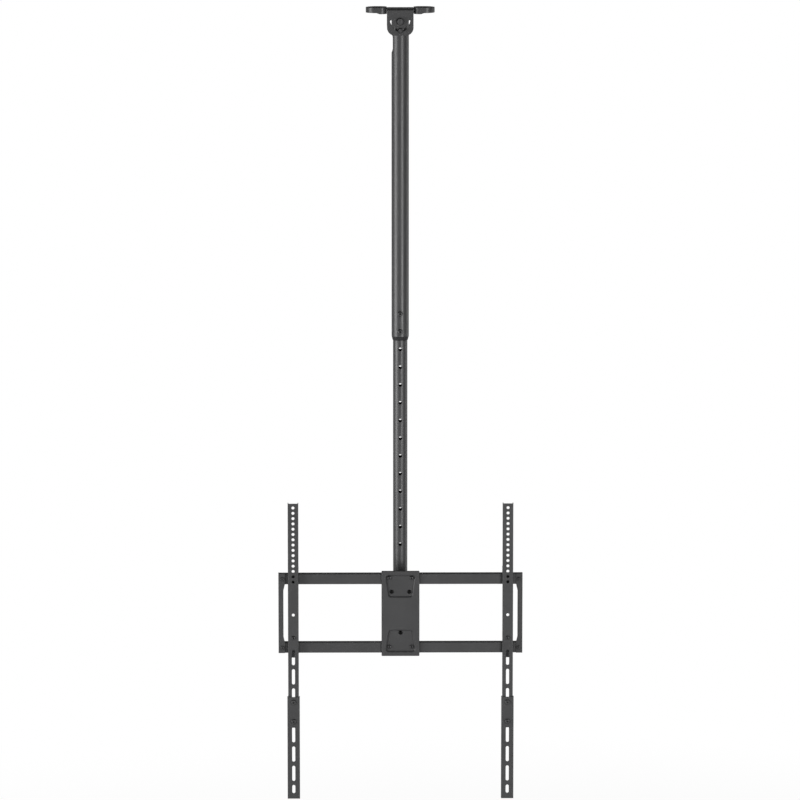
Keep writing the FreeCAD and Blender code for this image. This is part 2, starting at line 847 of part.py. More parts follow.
keep(swivel_bracket(), "swivel_bracket")
keep(ring(liner_radius, liner_bore, S.collar_height, (0, 0, z_collar_foot)), "swivel_liner")
z_thrust = z_collar_foot - S.thrust_washer_thickness
thrust_radius = liner_bore + S.thrust_washer_width
keep(ring(thrust_radius, liner_bore, S.thrust_washer_thickness, (0, 0, z_thrust)), "thrust_washer")
swivel_screw_length = collar_radius - collar_bore
swivel_screws = [
    medium_screw(swivel_screw_length, (0, collar_radius, z), "-Y") for z in swivel_screw_places
]
keep(group(swivel_screws), "swivel_screws")


def tilt_hardware(name, z, bolt, flats, head, nut, washer):
    """A bolt across both cheeks, with a washer outside each ear of the tilt bracket."""
    x_washer = tilt_ear_outside + S.running_gap
    x_seat = x_washer + S.washer_thickness
    length = 2 * x_seat + nut + S.bolt_end
    keep(hex_bolt(flats, head, bolt, length, (-x_seat, y_tilt, z), "X"), f"{name}_bolt")
    keep(hex_nut(flats, nut, bolt, (x_seat, y_tilt, z), "X"), f"{name}_nut")
    inside = bolt / 2 + S.fit_gap
    return [
        ring(washer / 2, inside, S.washer_thickness, (start, y_tilt, z), "X")
        for start in (-x_seat, x_washer)
    ]


tilt_washers = tilt_hardware("tilt", z_tilt, *large) + tilt_hardware("tilt_lock", z_tilt_lock, *medium)
keep(group(tilt_washers), "tilt_washers")
spacer_starts = (-cheek_outside - S.tilt_spacer_thickness, cheek_outside)
tilt_spacers = [
    ring(S.tilt_spacer_width / 2, spacer_bore, S.tilt_spacer_thickness, (start, y_tilt, z_tilt), "X")
    for start in spacer_starts
]
keep(group(tilt_spacers), "tilt_spacers")

# Tilt bracket
bracket_bolt_places = [
    (-S.bracket_bolt_x, z_frame + S.bracket_bolt_upper),
    (S.bracket_bolt_x, z_frame + S.bracket_bolt_upper),
    (dim(0), z_frame - S.bracket_bolt_lower),
]
bracket_holes = [circle(x, z, S.small_screw / 2 + S.fit_gap) for x, z in bracket_bolt_places]


def tilt_bracket():
    """Folded channel behind the panel: a web between the rails and two ears on the tilt axis."""
    body = new_body()
    high = z_frame + rail_near - S.bracket_inset
    low = z_frame - rail_near + S.bracket_inset
    web = rectangle(-tilt_ear_outside, tilt_ear_outside, low, high)
    prism(body, "XZ", y_rail_front, y_web_back, [web])
    y_back = y_tilt + S.ear_back
    ear = [
        (y_rail_front, z_tilt + S.ear_top_rise),
        (y_back, z_tilt + S.ear_back_rise),
        (y_back, z_tilt_lock - S.ear_back_foot),
        (y_rail_front, z_tilt_lock - S.ear_foot),
    ]
    prism(body, "YZ", -tilt_ear_outside, -tilt_ear_inside, [polygon(ear)])
    ears = prism(body, "YZ", tilt_ear_inside, tilt_ear_outside, [polygon(ear)])
    backs = [(y_back, z_tilt + S.ear_back_rise), (y_back, z_tilt_lock - S.ear_back_foot)]
    round_edges(body, ears, S.cheek_step, "x", *backs)
    pivot = circle(y_tilt, z_tilt, S.large_bolt / 2 + S.pin_play)
    prism(body, "YZ", -2 * tilt_ear_outside, 2 * tilt_ear_outside, [pivot], removes=True)
    prism(body, "XZ", y_rail_front - S.tilt_sheet, y_web_back, bracket_holes, removes=True)
    lock_slot = arc_slot(
        (-2 * tilt_ear_outside, y_tilt, z_tilt),
        "X",
        S.tilt_lock_radius,
        S.medium_bolt + 2 * S.running_gap,
        -(S.tilt_down + S.tilt_slot_spare),
        S.tilt_down + S.tilt_up + 2 * S.tilt_slot_spare,
        4 * tilt_ear_outside,
    )
    return cut(body, lock_slot)


keep(tilt_bracket(), "tilt_bracket")

# Front panel
rail_screw_places = {
    "upper": [(side * S.rail_screw_x, z_frame + S.rail_screw_upper) for side in (-1, 1)],
    "lower": [(side * S.rail_screw_x, z_frame - S.rail_screw_lower) for side in (-1, 1)],
}
rail_holes = {
    name: [circle(x, z, S.small_screw / 2 + S.fit_gap) for x, z in places]
    for name, places in rail_screw_places.items()
}


def recess_corners(side, inset):
    """A recess's corners on the panel, narrow towards the panel's middle."""
    near = z_frame + side * (S.recess_near + inset)
    far = z_frame + side * (S.recess_far - inset)
    narrow = S.recess_narrow / 2 - inset
    wide = S.recess_wide / 2 - inset
    return [(-narrow, near), (narrow, near), (wide, far), (-wide, far)]


def front_panel():
    """Pressed tray: a sheet with its rim turned back, and two recesses with sloping walls."""
    body = new_body()
    half_width = S.panel_width / 2
    half_height = S.panel_height / 2
    low = z_frame - half_height
    high = z_frame + half_height
    block = prism(body, "XZ", y_panel, y_rail_front, [rectangle(-half_width, half_width, low, high)])
    corners = [(x, z) for x in (-half_width, half_width) for z in (low, high)]
    squared = round_edges(body, block, S.panel_edge, "y", *corners)
    sides = [(x, y_panel) for x in (-half_width, half_width)]
    round_edges(body, squared, S.panel_edge / 2, "z", *sides)
    inside = rectangle(
        S.panel_sheet - half_width,
        half_width - S.panel_sheet,
        low + S.panel_sheet,
        high - S.panel_sheet,
    )
    prism(body, "XZ", y_panel + S.panel_sheet, y_rail_front, [inside], removes=True)
    y_back = y_panel + S.panel_sheet
    boss_inset = S.recess_slope - S.panel_sheet
    bosses = [polygon(recess_corners(side, boss_inset)) for side in (-1, 1)]
    prism(body, "XZ", y_back, y_rail_front, bosses)
    floors = [recess_corners(side, S.recess_slope) for side in (-1, 1)]
    recess = prism(body, "XZ", y_panel, y_floor, [polygon(floor) for floor in floors], removes=True)
    rounded = round_edges(body, recess, S.recess_corner, "y", *floors[0], *floors[1])
    slope_mouth(body, rounded, S.recess_slope, y_panel, S.recess_wide / 2, S.recess_far)
    holes = bracket_holes + rail_holes["upper"] + rail_holes["lower"]
    prism(body, "XZ", y_panel, y_rail_front, holes, removes=True)
    return body


keep(front_panel(), "front_panel")
all_rail_screws = [
    small_screw(S.small_screw_length, (x, y_floor, z), "Y")
    for places in rail_screw_places.values()
    for x, z in places
]
keep(group(all_rail_screws), "rail_screws")
bracket_bolt_length = S.panel_sheet + S.tilt_sheet + S.small_nut + S.bolt_end
bracket_bolts = [small_screw(bracket_bolt_length, (x, y_floor, z), "Y") for x, z in bracket_bolt_places]
keep(group(bracket_bolts), "bracket_bolts")
bracket_nuts = [
    hex_nut(S.small_flats, S.small_nut, S.small_screw, (x, y_web_back, z), "Y")
    for x, z in bracket_bolt_places
]
keep(group(bracket_nuts), "bracket_nuts")

# Rails
end_screw_x = end_outside - S.end_screw_inset


def rail(name, side):
    """Box-section rail with screw holes in its front wall."""
    body = new_body()
    middle = z_frame + side * S.rail_spacing / 2
    low = middle - S.rail_height / 2
    high = middle + S.rail_height / 2
    half = S.rail_length / 2
    wall = S.rail_wall
    solid = prism(body, "YZ", -half, half, [rectangle(y_rail_front, y_rail_back, low, high)])
    corners = [(y, z) for y in (y_rail_front, y_rail_back) for z in (low, high)]
    round_edges(body, solid, S.rail_edge, "x", *corners)
    hollow = rectangle(y_rail_front + wall, y_rail_back - wall, low + wall, high - wall)
    prism(body, "YZ", -half, half, [hollow], removes=True)
    ends = [circle(sign * end_screw_x, middle, S.small_screw / 2 + S.fit_gap) for sign in (-1, 1)]
    y_inside = y_rail_front + S.rail_depth / 2
    prism(body, "XZ", y_rail_front - wall, y_inside, rail_holes[name] + ends, removes=True)
    return body


keep(rail("upper", 1), "upper_rail")
keep(rail("lower", -1), "lower_rail")


def end_plate(side):
    """Folded plate over both rails' ends: a strip with wider tabs, and a side wall."""
    body = new_body()
    outside = side * end_outside
    strip = side * (end_outside - S.end_strip)
    tab = side * (end_outside - S.end_tab)
    slope = rail_near - S.end_slope
    outline = [
        (outside, z_frame + rail_far),
        (tab, z_frame + rail_far),
        (tab, z_frame + rail_near),
        (strip, z_frame + slope),
        (strip, z_frame - slope),
        (tab, z_frame - rail_near),
        (tab, z_frame - rail_far),
        (outside, z_frame - rail_far),
    ]
    prism(body, "XZ", y_end_front, y_rail_front, [polygon(outline)])
    wall = sorted((outside, side * (end_outside - S.end_sheet)), key=lambda place_: place_.value)
    low, high = z_frame - rail_far, z_frame + rail_far
    folded = prism(body, "YZ", *wall, [rectangle(y_end_front, y_rail_back, low, high)])
    round_edges(body, folded, S.end_sheet / 2, "z", (outside, y_end_front))
    screw = S.small_screw / 2 + S.fit_gap
    holes = [
        circle(side * end_screw_x, z_frame + sign * S.rail_spacing / 2, screw) for sign in (-1, 1)
    ]
    prism(body, "XZ", y_end_front, y_rail_front, holes, removes=True)
    return body


for name, side in SIDES.items():
    keep(end_plate(side), f"{name}_end_plate")
end_plate_screws = [
    small_screw(
        S.small_screw_length, (side * end_screw_x, y_end_front, z_frame + sign * S.rail_spacing / 2), "Y"
    )
    for side in SIDES.values()
    for sign in (-1, 1)
]
keep(group(end_plate_screws), "end_plate_screws")


def channel_outline(x, half, sheet_, y_front, y_web, y_back):
    """Section of an upright channel, open at the back."""
    return polygon(
        [
            (x - half, y_front),
            (x + half, y_front),
            (x + half, y_back),
            (x + half - sheet_, y_back),
            (x + half - sheet_, y_web),
            (x - half + sheet_, y_web),
            (x - half + sheet_, y_back),
            (x - half, y_back),
        ]
    )


def upright_slot(x, z, length):
    reach = (length - S.arm_slot_width) / 2
    return slot((x, z - reach), (x, z + reach), S.arm_slot_width)


# Arms


def arm(x):
    """Upright channel that hooks over the upper rail, with round holes above and slots below."""
    body = new_body()
    half = S.arm_width / 2
    section = channel_outline(x, half, S.arm_sheet, y_arm, y_arm_web, y_arm_back)
    channel = prism(body, "XY", z_arm_foot, z_arm_top, [section])
    round_edges(body, channel, S.arm_edge, "z", (x - half, y_arm), (x + half, y_arm))
    z_rail_top = z_frame + rail_far
    z_over = z_rail_top + S.running_gap
    y_behind = y_rail_back + S.running_gap
    hook = [
        (y_arm_web, z_over),
        (y_arm_web, z_over + S.hook_height),
        (y_behind + S.hook_thickness, z_over + S.hook_height),
        (y_behind + S.hook_thickness, z_rail_top - S.hook_reach),
        (y_behind, z_rail_top - S.hook_reach),
        (y_behind, z_over),
    ]
    prism(body, "YZ", x - half, x - half + S.arm_sheet, [polygon(hook)])
    prism(body, "YZ", x + half - S.arm_sheet, x + half, [polygon(hook)])
    holes = [
        circle(x, z_arm_hole - S.arm_hole_pitch * number, S.arm_hole_diameter / 2)
        for number in range(SIZES["arm_hole_count"])
    ]
    holes.append(circle(x, z_arm_hole - S.arm_mid_hole, S.arm_hole_diameter / 2))
    holes.append(circle(x, z_clip_screw, S.small_screw / 2 + S.bolt_play))
    slots = [
        upright_slot(x, arm_slot_z(number), S.arm_slot_length)
        for number in range(SIZES["arm_slot_count"])
    ]
    prism(body, "XZ", y_arm - S.arm_sheet, y_arm_web, holes + slots, removes=True)
    return body


def arm_clip(x):
    """Angle that reaches from the arm's web over the lower rail and down behind it."""
    body = new_body()
    half = S.clip_width / 2
    y_front = y_rail_back + S.running_gap
    y_back = y_front + S.clip_sheet
    top = z_clip_screw + S.clip_top
    foot = z_frame - rail_near - S.clip_reach
    angle = [
        (y_arm_web, top - S.clip_sheet),
        (y_arm_web, top),
        (y_back, top),
        (y_back, foot),
        (y_front, foot),
        (y_front, top - S.clip_sheet),
    ]
    prism(body, "YZ", x - half, x + half, [polygon(angle)])
    thread = circle(x, z_clip_screw, S.small_screw / 2 + S.fit_gap)
    prism(body, "XZ", y_rail_front, -y_rail_front, [thread], removes=True)
    return body


clip_screw_length = y_rail_back + S.running_gap + S.clip_sheet + S.bolt_end - y_arm
for name, side in SIDES.items():
    arm_x = side * (S.rail_length / 2 - S.arm_inset)
    keep(arm(arm_x), f"{name}_arm")
    keep(arm_clip(arm_x), f"{name}_arm_clip")
    keep(small_screw(clip_screw_length, (arm_x, y_arm, z_clip_screw), "Y"), f"{name}_arm_screw")


# Extensions


def extension(x):
    """Wider channel that slides over an arm's lower end."""
    body = new_body()
    y_back = y_extension + S.extension_depth
    sheet_ = S.extension_sheet
    section = channel_outline(x, extension_outside, sheet_, y_extension, y_extension_web, y_back)
    channel = prism(body, "XY", z_extension_foot, z_extension_top, [section])
    edges = [(x - extension_outside, y_extension), (x + extension_outside, y_extension)]
    round_edges(body, channel, S.arm_edge, "z", *edges)
    holes = [circle(x, extension_screw_z(number), S.medium_bolt / 2 + S.fit_gap) for number in range(2)]
    slots = [
        upright_slot(
            x,
            z_extension_top - S.extension_slot_first - S.extension_slot_pitch * number,
            S.arm_slot_length,
        )
        for number in range(SIZES["extension_slot_count"])
    ]
    slots.append(upright_slot(x, z_extension_top - S.extension_short_drop, S.extension_short_slot))
    prism(body, "XZ", y_extension - sheet_, y_extension_web, holes + slots, removes=True)
    return body


y_nut = y_arm_web + S.running_gap
extension_screw_length = y_nut + S.medium_nut + S.bolt_end - y_extension
for name, side in SIDES.items():
    arm_x = side * (S.rail_length / 2 - S.arm_inset)
    keep(extension(arm_x), f"{name}_extension")
    screws = [
        medium_screw(extension_screw_length, (arm_x, y_extension, extension_screw_z(number)), "Y")
        for number in range(2)
    ]
    keep(group(screws), f"{name}_extension_screws")
    nuts = [
        hex_nut(S.medium_flats, S.medium_nut, S.medium_bolt, (arm_x, y_nut, extension_screw_z(number)), "Y")
        for number in range(2)
    ]
    keep(group(nuts), f"{name}_extension_nuts")

# Test every object, then write each sub-part
doc.recompute()
for thing in doc.Objects:
    if "Invalid" in thing.State or "Error" in thing.State:
        raise RuntimeError(f"{thing.Label} failed: {thing.State}")
for piece in pieces:
    if piece.Shape.isNull() or not piece.Shape.isValid():
        raise RuntimeError(f"{piece.Label} has no valid shape")
os.makedirs("parts", exist_ok=True)
for piece in pieces:
    piece.Shape.exportStep(f"parts/{piece.Label}.step")
print(len(pieces), "sub-parts written")
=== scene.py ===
import json
import math

import bpy
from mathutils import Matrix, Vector


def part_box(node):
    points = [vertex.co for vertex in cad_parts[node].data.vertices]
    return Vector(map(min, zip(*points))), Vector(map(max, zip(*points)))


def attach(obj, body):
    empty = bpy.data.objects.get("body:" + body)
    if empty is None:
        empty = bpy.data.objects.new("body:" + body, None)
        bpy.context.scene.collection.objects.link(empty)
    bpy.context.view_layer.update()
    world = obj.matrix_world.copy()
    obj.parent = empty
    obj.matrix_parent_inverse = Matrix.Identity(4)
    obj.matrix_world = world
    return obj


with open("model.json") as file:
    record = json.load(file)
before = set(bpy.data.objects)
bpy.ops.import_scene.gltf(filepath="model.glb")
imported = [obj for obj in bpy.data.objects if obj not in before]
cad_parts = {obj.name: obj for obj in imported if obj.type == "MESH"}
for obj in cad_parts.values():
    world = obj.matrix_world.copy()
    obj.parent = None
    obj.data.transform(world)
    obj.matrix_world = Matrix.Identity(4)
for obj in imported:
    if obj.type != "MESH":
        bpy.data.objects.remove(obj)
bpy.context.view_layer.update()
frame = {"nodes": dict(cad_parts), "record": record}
nodes = frame["nodes"]
scene = bpy.context.scene
scene.view_settings.view_transform = "Standard"


# Node helpers


def new_material(name):
    """A new node material, with its tree and its main shader."""
    material = bpy.data.materials.new(name)
    material.use_nodes = True
    tree = material.node_tree
    return material, tree, tree.nodes["Principled BSDF"]


def remap(tree, value, source, target=(0, 1)):
    """Map a value from one range to another, held at the ends."""
    mapper = tree.nodes.new("ShaderNodeMapRange")
    for socket, limit in zip(("From Min", "From Max", "To Min", "To Max"), (*source, *target)):
        mapper.inputs[socket].default_value = limit
    tree.links.new(value, mapper.inputs["Value"])
    return mapper.outputs["Result"]


def compute(tree, operation, first, second):
    """A Math node on two values, each an output or a plain number."""
    node = tree.nodes.new("ShaderNodeMath")
    node.operation = operation
    for socket, value in zip(node.inputs, (first, second)):
        if isinstance(value, (int, float)):
            socket.default_value = value
        else:
            tree.links.new(value, socket)
    return node.outputs["Value"]


def mix_colours(tree, factor, dark, light):
    """Mix a plain dark colour with a light one, which is plain too or an output."""
    mixer = tree.nodes.new("ShaderNodeMix")
    mixer.data_type = "RGBA"
    mixer.inputs["A"].default_value = (*dark, 1)
    if isinstance(light, tuple):
        mixer.inputs["B"].default_value = (*light, 1)
    else:
        tree.links.new(light, mixer.inputs["B"])
    tree.links.new(factor, mixer.inputs["Factor"])
    return mixer.outputs["Result"]


def mix_shaders(tree, factor, first, second):
    """Mix two shaders by a value."""
    mixer = tree.nodes.new("ShaderNodeMixShader")
    for socket, value in zip(mixer.inputs, (factor, first, second)):
        tree.links.new(value, socket)
    return mixer.outputs["Shader"]


def grey_ramp(tree, value, stops):
    """Look a value up in a ramp of greys, given as places and tones in order."""
    ramp = tree.nodes.new("ShaderNodeValToRGB")
    elements = ramp.color_ramp.elements
    while len(elements) < len(stops):
        elements.new(1)
    for element, (place, tone) in zip(elements, stops):
        element.position = place
        element.color = (tone, tone, tone, 1)
    tree.links.new(value, ramp.inputs["Fac"])
    return ramp.outputs["Color"]


def mirrored_rays(tree, path):
    """1 for a ray that gloss or glass sends on, else 0."""
    return compute(tree, "MAXIMUM", path.outputs["Is Glossy Ray"], path.outputs["Is Transmission Ray"])


# Finishes

NOISE_SPAN = (0.3, 0.7)
# Ambient occlusion values over which the painted crevice shade goes from full to none
PAINTED_SHADE_SPAN = (0.55, 0.95)


def noise(tree, scale, detail):
    """Noise in the object's own metres."""
    place = tree.nodes.new("ShaderNodeTexCoord")
    texture = tree.nodes.new("ShaderNodeTexNoise")
    texture.inputs["Scale"].default_value = scale
    texture.inputs["Detail"].default_value = detail
    tree.links.new(place.outputs["Object"], texture.inputs["Vector"])
    return texture.outputs["Fac"]


def tint(tree, value, dark, light):
    """Mix two colours by a noise value."""
    return mix_colours(tree, remap(tree, value, NOISE_SPAN), dark, light)


def painted_crevice_shade(tree, colour, reach, dark):
    """Painted shade: darken a colour in sockets and corners, by ambient occlusion out to a reach."""
    occlusion_shade = tree.nodes.new("ShaderNodeAmbientOcclusion")
    occlusion_shade.inputs["Distance"].default_value = reach
    return mix_colours(tree, remap(tree, occlusion_shade.outputs["AO"], PAINTED_SHADE_SPAN), dark, colour)


def roughen(tree, shader, value, smoothest, roughest):
    """Vary a shader's roughness by a noise value."""
    roughness = remap(tree, value, NOISE_SPAN, (smoothest, roughest))
    tree.links.new(roughness, shader.inputs["Roughness"])


def grain(tree, shader, value, strength, depth):
    """Bump a surface by a noise value, depth in metres."""
    bump = tree.nodes.new("ShaderNodeBump")
    bump.inputs["Strength"].default_value = strength
    bump.inputs["Distance"].default_value = depth
    tree.links.new(value, bump.inputs["Height"])
    tree.links.new(bump.outputs["Normal"], shader.inputs["Normal"])


def powder_coat():
    """Satin black powder coat: a fine peel, with small drifts in shade and gloss."""
    material, tree, shader = new_material("powder_coat")
    drift = noise(tree, scale=14, detail=3)
    colour = tint(tree, drift, dark=(0.035, 0.035, 0.036), light=(0.041, 0.041, 0.042))
    # Painted shade: the coat's colour is darkened in corners and recesses, within 4 mm
    colour = painted_crevice_shade(tree, colour, reach=0.004, dark=(0.003, 0.003, 0.003))
    tree.links.new(colour, shader.inputs["Base Color"])
    roughen(tree, shader, drift, smoothest=0.32, roughest=0.38)
    shader.inputs["Specular IOR Level"].default_value = 0.34
    grain(tree, shader, noise(tree, scale=900, detail=2), strength=0.06, depth=0.0002)
    return material


def blackened_steel(name, dark, light):
    """Blackened screws: dark metal with rubbed patches, with painted shade that darkens the sockets."""
    material, tree, shader = new_material(name)
    rub = noise(tree, scale=260, detail=4)
    # Painted shade: the screws' colour is darkened in sockets and corners, within 4 mm
    colour = painted_crevice_shade(tree, tint(tree, rub, dark, light), reach=0.004, dark=(0.008, 0.008, 0.008))
    tree.links.new(colour, shader.inputs["Base Color"])
    roughen(tree, shader, rub, smoothest=0.3, roughest=0.45)
    shader.inputs["Metallic"].default_value = 1
    grain(tree, shader, noise(tree, scale=1600, detail=2), strength=0.1, depth=0.0001)
    return material


def nylon():
    """Black moulded nylon with a faint matt texture."""
    material, tree, shader = new_material("nylon")
    drift = noise(tree, scale=60, detail=3)
    colour = tint(tree, drift, dark=(0.012, 0.012, 0.013), light=(0.018, 0.018, 0.019))
    tree.links.new(colour, shader.inputs["Base Color"])
    roughen(tree, shader, drift, smoothest=0.48, roughest=0.58)
    shader.inputs["Specular IOR Level"].default_value = 0.16
    grain(tree, shader, noise(tree, scale=1200, detail=3), strength=0.15, depth=0.0001)
    return material


finishes = {
    "powder_coat": powder_coat(),
    "fastener": blackened_steel("blackened_steel", dark=(0.05, 0.05, 0.052), light=(0.078, 0.078, 0.079)),
    "nylon": nylon(),
}
# Painted shade: a darker copy of the blackened steel for the bracket bolts, standing for the deep shade in
# their sockets
shade_darkened_steel = blackened_steel("shade_darkened_steel", dark=(0.006, 0.006, 0.006), light=(0.014, 0.014, 0.014))
coated_screws = ("end_plate_screws", "left_extension_screws", "right_extension_screws")
special = dict.fromkeys(coated_screws, finishes["powder_coat"])
special["bracket_bolts"] = shade_darkened_steel
for entry in frame["record"]["subparts"]:
    thing = nodes[entry["node"]]
    finish = special.get(entry["node"], finishes[entry["material_slot"]])
    thing.data.materials.clear()
    thing.data.materials.append(finish)


# Mesh helpers


def add_piece(name, points, faces, body, slot):
    """A new smooth mesh piece, riding on a body with one of the record's finishes."""
    mesh = bpy.data.meshes.new(name)
    mesh.from_pydata(points, [], faces)
    mesh.validate()
    for face in mesh.polygons:
        face.use_smooth = True
    thing = bpy.data.objects.new(name, mesh)
    scene.collection.objects.link(thing)
    thing.data.materials.append(finishes[slot])
    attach(thing, body)


def across(axis):
    """Two directions square to an axis and to each other."""
    side = axis.orthogonal().normalized()
    return side, axis.cross(side)


def ring(middle, side, other, radii):
    """Points round a middle, equally spaced, one at each radius."""
    points = []
    for step, radius in enumerate(radii):
        turn = 2 * math.pi * step / len(radii)
        points.append(middle + (side * math.cos(turn) + other * math.sin(turn)) * radius)
    return points


def loft(rings):
    """Points and faces of a closed tube through rings of equally many points, with flat ends."""
    count = len(rings[0])
    points = [point for ring_points in rings for point in ring_points]
    faces = []
    for row in range(len(rings) - 1):
        for step in range(count):
            after = (step + 1) % count
            low = row * count
            high = low + count
            faces.append((low + step, low + after, high + after, high + step))
    faces.append(tuple(reversed(range(count))))
    faces.append(tuple(range(len(points) - count, len(points))))
    return points, faces


# Threads on the bolts' free ends, in metres; depth and taper are shares of the pitch and the radius
THREAD_LENGTH = 0.0025
THREAD_PROUD = 0.0001
THREAD_LIFT = 0.00008
THREAD_DEPTH = 0.3
THREAD_TAPER = 0.1
THREAD_TIP = 0.35
THREAD_SIDES = 32
THREAD_ROWS = 10
M10_FINE = {"diameter": 0.010, "pitch": 0.00125}
M8 = {"diameter": 0.008, "pitch": 0.00125}
M6 = {"diameter": 0.006, "pitch": 0.001}
BACKWARDS = (0, 1, 0)
RIGHTWARDS = (1, 0, 0)


def bolt_end(node, body, axis, diameter, pitch):
    """Thread the free end of a bolt that points along an axis: a sleeve that climbs in a helix."""
    low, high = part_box(node)
    axis = Vector(axis)
    tip = (low + high) / 2 + axis * ((high - low).dot(axis) / 2)
    start = tip - axis * (THREAD_LENGTH - THREAD_PROUD)
    side, other = across(axis)
    rows = round(THREAD_LENGTH / pitch * THREAD_ROWS)
    rings = []
    for row in range(rows + 1):
        along = THREAD_LENGTH * row / rows
        fade = min(1, (THREAD_LENGTH - along) / pitch + THREAD_TIP)
        taper = 1 - THREAD_TAPER * (1 - fade)
        radii = []
        for step in range(THREAD_SIDES):
            phase = (along / pitch - step / THREAD_SIDES) % 1
            groove = THREAD_DEPTH * pitch * abs(2 * phase - 1)
            radii.append((diameter / 2 - groove) * taper + THREAD_LIFT)
        rings.append(ring(start + axis * along, side, other, radii))
    points, faces = loft(rings)
    add_piece(f"{node}_thread", points, faces, body, "fastener")


bolt_end("pivot_bolt", "ceiling_bracket", BACKWARDS, **M10_FINE)
bolt_end("lock_bolt", "outer_pole", BACKWARDS, **M6)
bolt_end("tilt_bolt", "swivel_head", RIGHTWARDS, **M10_FINE)
bolt_end("tilt_lock_bolt", "swivel_head", RIGHTWARDS, **M8)
for hand in ("left", "right"):
    bolt_end(f"{hand}_arm_screw", f"{hand}_arm", BACKWARDS, **M6)


# Weld beads where the cheeks meet the swivel collar, in metres
COLLAR_RADIUS = 0.02705
CHEEK_BACK = 0.010
CHEEK_INSIDE = 0.02205
CHEEK_STEP = 0.008
WELD_RADIUS = 0.0021
WELD_OUT = 0.0004
WELD_ALONG = 0.0003
WELD_FOOT_GAP = 0.004
WELD_TOP_GAP = 0.003
WELD_TIP = 0.35
WELD_SIDES = 14
SCALE_LENGTH = 0.0032
SCALE_DEPTH = 0.16
SCALE_ROWS = 8
SWAY = 0.1
SWAY_RATE = 410


def weld(name, body, foot, top):
    """A weld bead along a line, in overlapping scales, with a slight sway."""
    foot, top = Vector(foot), Vector(top)
    length = (top - foot).length
    axis = (top - foot).normalized()
    side, other = across(axis)
    rows = round(length / SCALE_LENGTH * SCALE_ROWS)
    rings = []
    for row in range(rows + 1):
        along = length * row / rows
        ripple = math.sin(math.pi * ((along / SCALE_LENGTH) % 1))
        end = min(along, length - along)
        fade = min(1, WELD_TIP + end / (2 * WELD_RADIUS))
        swell = WELD_RADIUS * (1 - SCALE_DEPTH + SCALE_DEPTH * ripple) * fade
        sway = SWAY * WELD_RADIUS * math.sin(along * SWAY_RATE)
        rings.append(ring(foot + axis * along + side * sway, side, other, [swell] * WELD_SIDES))
    points, faces = loft(rings)
    add_piece(name, points, faces, body, "powder_coat")


collar_low, collar_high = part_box("swivel_liner")
weld_foot = collar_low.z + WELD_FOOT_GAP
weld_top = collar_high.z - CHEEK_STEP - WELD_TOP_GAP
front_corner = math.sqrt(COLLAR_RADIUS**2 - CHEEK_INSIDE**2)
back_corner = math.sqrt(COLLAR_RADIUS**2 - CHEEK_BACK**2)
weld_places = {
    "back": (back_corner + WELD_OUT, CHEEK_BACK + WELD_ALONG),
    "front": (CHEEK_INSIDE - WELD_ALONG, -front_corner - WELD_OUT),
}
for hand, sign in (("left", -1), ("right", 1)):
    for edge, (x, y) in weld_places.items():
        weld(f"{hand}_{edge}_weld", "swivel_head", (sign * x, y, weld_foot), (sign * x, y, weld_top))


# Camera: a long lens, a little above the object and looking slightly down.
# The focal length and the shift are in pixels of the image, the sensor in millimetres
IMAGE = 800
FOCAL = 5520
SHIFT = 0.2
SENSOR = 36
DISTANCE = 15.173
HEIGHT = 1.5355
LOOK_DOWN = math.radians(9.85)
AZIMUTH = math.radians(-0.5)
FAR_CLIP = 200


def photographer():
    """The scene's camera."""
    data = bpy.data.cameras.new("camera")
    data.sensor_width = SENSOR
    data.lens = FOCAL / IMAGE * SENSOR
    data.shift_x = -SHIFT / IMAGE
    data.clip_end = FAR_CLIP
    camera = bpy.data.objects.new("camera", data)
    camera.location = (DISTANCE * math.sin(AZIMUTH), -DISTANCE * math.cos(AZIMUTH), HEIGHT)
    camera.rotation_euler = (math.pi / 2 - LOOK_DOWN, 0, AZIMUTH)
    scene.collection.objects.link(camera)
    scene.camera = camera


photographer()


# Floor: a pale disc that fades into the white surround between two shares of its radius
FLOOR = -2.75
FLOOR_RADIUS = 6
FLOOR_SIDES = 96
FLOOR_TONE = 0.9
FLOOR_FADE = (0.25, 0.5)
FLOOR_GLOW = (0.88, 1)


def floor_material():
    """Pale and matt, white where the camera or a reflection sees it, and clear from below."""
    material, tree, shader = new_material("floor")
    shader.inputs["Base Color"].default_value = (FLOOR_TONE, FLOOR_TONE, FLOOR_TONE, 1)
    shader.inputs["Roughness"].default_value = 0.9
    shader.inputs["Specular IOR Level"].default_value = 0.1
    place = tree.nodes.new("ShaderNodeTexCoord")
    flat = tree.nodes.new("ShaderNodeVectorMath")
    flat.operation = "MULTIPLY"
    flat.inputs[1].default_value = (1, 1, 0)
    tree.links.new(place.outputs["Object"], flat.inputs[0])
    from_middle = tree.nodes.new("ShaderNodeVectorMath")
    from_middle.operation = "LENGTH"
    tree.links.new(flat.outputs["Vector"], from_middle.inputs[0])
    fade_span = [share * FLOOR_RADIUS for share in FLOOR_FADE]
    fade = remap(tree, from_middle.outputs["Value"], fade_span, FLOOR_GLOW)
    path = tree.nodes.new("ShaderNodeLightPath")
    viewed = compute(tree, "MAXIMUM", path.outputs["Is Camera Ray"], mirrored_rays(tree, path))
    amount = compute(tree, "MULTIPLY", viewed, fade)
    glow = tree.nodes.new("ShaderNodeEmission")
    lit = mix_shaders(tree, amount, shader.outputs["BSDF"], glow.outputs["Emission"])
    facing = tree.nodes.new("ShaderNodeNewGeometry")
    clear = tree.nodes.new("ShaderNodeBsdfTransparent")
    one_sided = mix_shaders(tree, facing.outputs["Backfacing"], lit, clear.outputs["BSDF"])
    tree.links.new(one_sided, tree.nodes["Material Output"].inputs["Surface"])
    return material


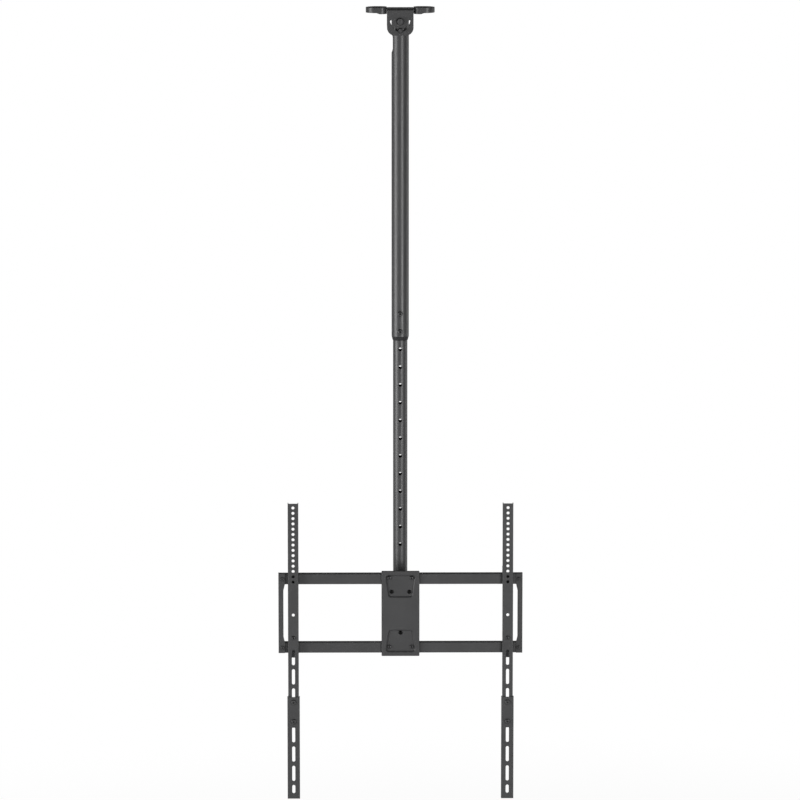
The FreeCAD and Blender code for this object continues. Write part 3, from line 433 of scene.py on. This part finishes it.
def floor():
    """The disc, as a fan of triangles."""
    points = [(0, 0, FLOOR)]
    for step in range(FLOOR_SIDES):
        turn = 2 * math.pi * step / FLOOR_SIDES
        points.append((FLOOR_RADIUS * math.cos(turn), FLOOR_RADIUS * math.sin(turn), FLOOR))
    faces = [(0, 1 + step, 1 + (step + 1) % FLOOR_SIDES) for step in range(FLOOR_SIDES)]
    mesh = bpy.data.meshes.new("floor")
    mesh.from_pydata(points, [], faces)
    thing = bpy.data.objects.new("floor", mesh)
    scene.collection.objects.link(thing)
    thing.data.materials.append(floor_material())


floor()


# Light: soft boxes left and right of the camera, a weak one at the side and one behind


def softbox(name, azimuth, distance, width, height, middle, power, mirrored=True):
    """A lamp facing the pole, its azimuth counted from the camera towards +X."""
    data = bpy.data.lights.new(name, "AREA")
    data.shape = "RECTANGLE"
    data.size = width
    data.size_y = height
    data.energy = power
    lamp = bpy.data.objects.new(name, data)
    turn = math.radians(azimuth)
    lamp.location = (distance * math.sin(turn), -distance * math.cos(turn), middle)
    aim = Vector((0, 0, middle)) - lamp.location
    lamp.rotation_euler = aim.to_track_quat("-Z", "Y").to_euler()
    lamp.visible_glossy = mirrored
    scene.collection.objects.link(lamp)


softbox("left_box", azimuth=-63, distance=5, width=2.9, height=2.6, middle=-1.45, power=215)
softbox("right_box", azimuth=28, distance=6, width=1.2, height=2.6, middle=-1.45, power=200)
softbox("side_box", azimuth=110, distance=5, width=1.6, height=2.2, middle=-1.65, power=20)
softbox("back_box", azimuth=-168, distance=5, width=4, height=2.2, middle=-1.5, power=200, mirrored=False)


# Surround: tones by height from straight down at 0 to straight up at 1, and panels in degrees of azimuth
STUDIO_TONES = ((0.0, 0.16), (0.36, 0.32), (0.5, 0.42), (0.54, 0.16), (0.62, 0.08), (1.0, 0.05))
HORIZON_FADE = 0.1
DARK_PANELS = ((-170, -102), (62, 88), (132, 170))
PANEL_TONE = 0.08
PANEL_FADE = 8


def panels(tree, split):
    """Reflected brightness by azimuth: dark panels stand round the white backdrop."""
    forwards = compute(tree, "MULTIPLY", split.outputs["Y"], -1)
    azimuth = compute(tree, "ARCTAN2", split.outputs["X"], forwards)
    turn = remap(tree, azimuth, (-math.pi, math.pi))
    stops = []
    for first, last in DARK_PANELS:
        stops += [(first - PANEL_FADE, 1), (first, PANEL_TONE), (last, PANEL_TONE), (last + PANEL_FADE, 1)]
    return grey_ramp(tree, turn, [(0.5 + degrees / 360, tone) for degrees, tone in stops])


def surround():
    """A dim studio, white to the camera, and to reflections up to just above the horizon."""
    world = bpy.data.worlds.new("world")
    scene.world = world
    world.use_nodes = True
    tree = world.node_tree
    place = tree.nodes.new("ShaderNodeTexCoord")
    split = tree.nodes.new("ShaderNodeSeparateXYZ")
    tree.links.new(place.outputs["Generated"], split.inputs["Vector"])
    studio = tree.nodes["Background"]
    tones = grey_ramp(tree, remap(tree, split.outputs["Z"], (-1, 1)), STUDIO_TONES)
    tree.links.new(tones, studio.inputs["Color"])
    white = tree.nodes.new("ShaderNodeBackground")
    white.inputs["Color"].default_value = (1, 1, 1, 1)
    path = tree.nodes.new("ShaderNodeLightPath")
    below = remap(tree, split.outputs["Z"], (0, HORIZON_FADE), (1, 0))
    mirrored = compute(tree, "MULTIPLY", mirrored_rays(tree, path), below)
    mirrored = compute(tree, "MULTIPLY", mirrored, panels(tree, split))
    viewed = compute(tree, "MAXIMUM", path.outputs["Is Camera Ray"], mirrored)
    seen = mix_shaders(tree, viewed, studio.outputs["Background"], white.outputs["Background"])
    tree.links.new(seen, tree.nodes["World Output"].inputs["Surface"])


surround()
